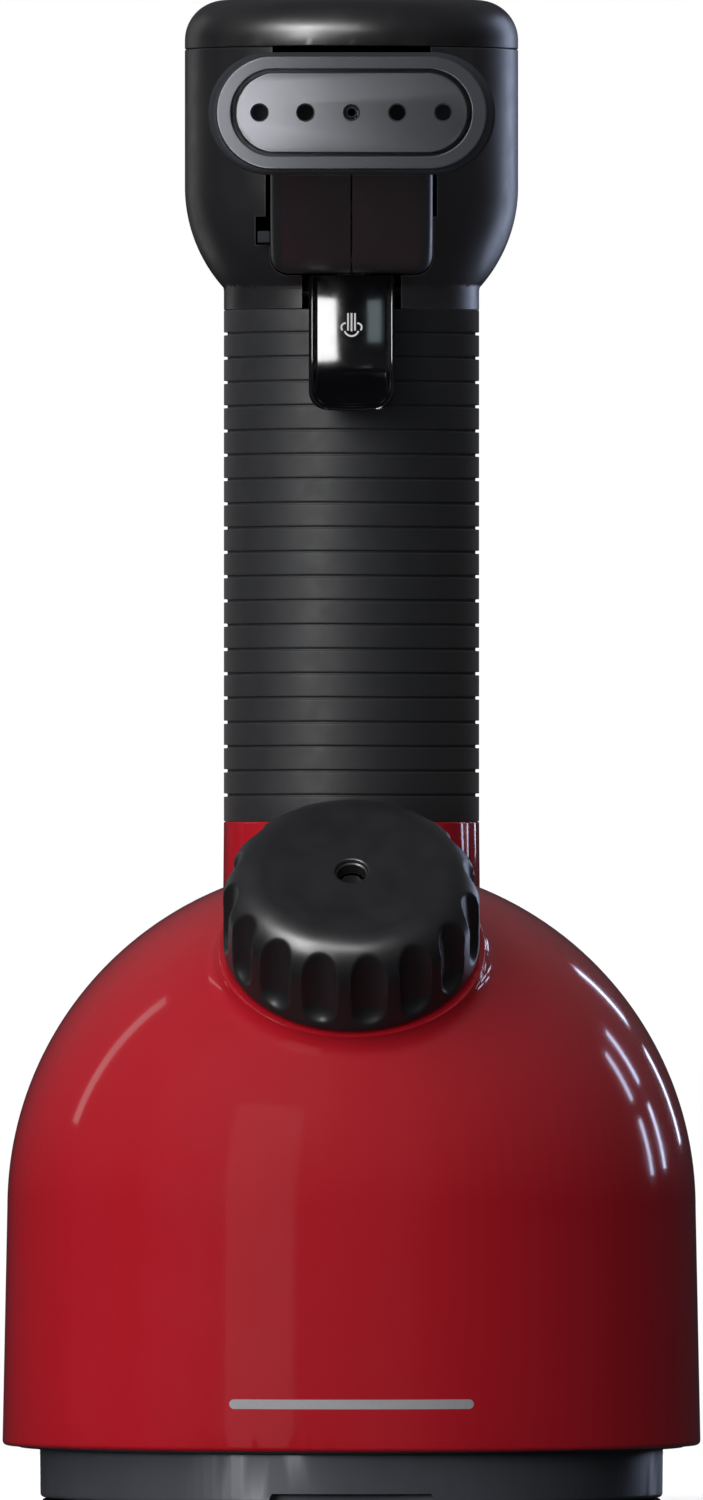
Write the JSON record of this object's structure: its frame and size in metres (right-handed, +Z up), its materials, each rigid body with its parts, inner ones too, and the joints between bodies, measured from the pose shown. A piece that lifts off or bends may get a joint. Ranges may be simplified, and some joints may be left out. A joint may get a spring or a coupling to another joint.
{
  "type": "handheld garment steamer",
  "caption": "Handheld garment steamer with a domed boiler body, tilted fluted filler cap, upright ribbed grip and a drum-shaped head with trigger and wide flat steam nozzle.",
  "frame": {"origin": "centre of the underside of the rubber foot pad, on the dome's axis", "axes": "+Z up along the handle, -Y the way the nozzle faces, +X to the right seen from the front"},
  "size_m": [0.1326, 0.145, 0.2867],
  "materials": {
    "red_shell": "high gloss moulded plastic",
    "black_body": "satin to gloss moulded plastic",
    "black_gloss": "polished piano black",
    "grip_rubber": "matte soft-touch rubber",
    "grey_plastic": "satin dark grey plastic",
    "silver_plate": "satin metallic",
    "black_rubber": "matte rubber",
    "steel": "bright zinc plated",
    "aluminium": "pressed, satin",
    "brass": "machined",
    "natural_plastic": "heat-resistant natural plastic"
  },
  "bodies": {
    "body": {"rubber_foot_pad": "black_rubber", "base_tray": "grey_plastic", "body_shell": "red_shell", "cord_gland": "black_rubber", "boiler_lower": "aluminium", "boiler_gasket": "black_rubber", "boiler_upper": "aluminium", "filler_neck": "brass", "heating_element": "steel", "thermostat": "steel", "thermal_fuse": "steel", "terminal_block": "natural_plastic", "heater_lead": "natural_plastic", "thermostat_lead": "natural_plastic", "base_screw_1": "steel", "base_screw_2": "steel", "base_screw_3": "steel", "base_screw_4": "steel", "boiler_screw_1": "steel", "boiler_screw_2": "steel", "boiler_screw_3": "steel", "boiler_screw_4": "steel", "handle_core_front": "black_body", "handle_core_rear": "black_body", "grip_sleeve": "grip_rubber", "steam_pipe": "natural_plastic", "valve_body": "brass", "valve_spring": "steel", "trigger_pin": "steel", "handle_screw_1": "steel", "handle_screw_2": "steel", "head_housing": "black_body", "head_lid": "black_body", "snout_left": "black_body", "snout_right": "black_body", "nozzle_bezel": "grey_plastic", "nozzle_manifold": "black_body", "steam_plate": "silver_plate", "centre_jet": "steel", "outlet_pipe": "natural_plastic"},
    "trigger": {"trigger": "black_gloss"},
    "valve_stem": {"valve_stem": "brass"},
    "cap_gasket": {"cap_seal": "black_rubber"},
    "cap_seat": {"relief_seat": "black_rubber"},
    "cap": {"cap_knob": "black_body", "cap_plug": "brass", "relief_spring": "steel", "relief_retainer": "brass"},
    "relief_valve": {"relief_valve_pin": "black_body"}
  },
  "joints": [
    {"name": "trigger_press", "type": "hinge", "parent": "body", "child": "trigger", "pos_m": [0, -0.003, 0.231], "axis": [1, 0, 0], "range_deg": [0, 8], "stiffness_Nm_per_rad": 0.6, "springref_deg": -2.86},
    {"name": "valve_stroke", "type": "slide", "parent": "body", "child": "valve_stem", "axis": [0, 1, 0], "range_m": [0, 0.0013], "deforming": ["valve_spring"]},
    {"name": "cap_lift", "type": "slide", "parent": "body", "child": "cap_gasket", "axis": [0, -0.682, 0.7314], "range_m": [0, 0.06]},
    {"name": "cap_rise", "type": "slide", "parent": "cap_gasket", "child": "cap_seat", "axis": [0, -0.682, 0.7314], "range_m": [0, 0.0082]},
    {"name": "cap_turn", "type": "hinge", "parent": "cap_seat", "child": "cap", "pos_m": [0, -0.0411, 0.1071], "axis": [0, -0.682, 0.7314], "range_deg": [0, 720]},
    {"name": "relief_lift", "type": "slide", "parent": "cap", "child": "relief_valve", "axis": [0, -0.682, 0.7314], "range_m": [0, 0.0015], "stiffness_N_per_m": 600, "springref_m": -0.003, "deforming": ["relief_spring"]}
  ],
  "couplings": [
    {"joint": "valve_stroke", "follows": "trigger_press", "m_per_rad": 0.0085},
    {"joint": "cap_rise", "follows": "cap_turn", "m_per_rad": 0.00063662}
  ]
}
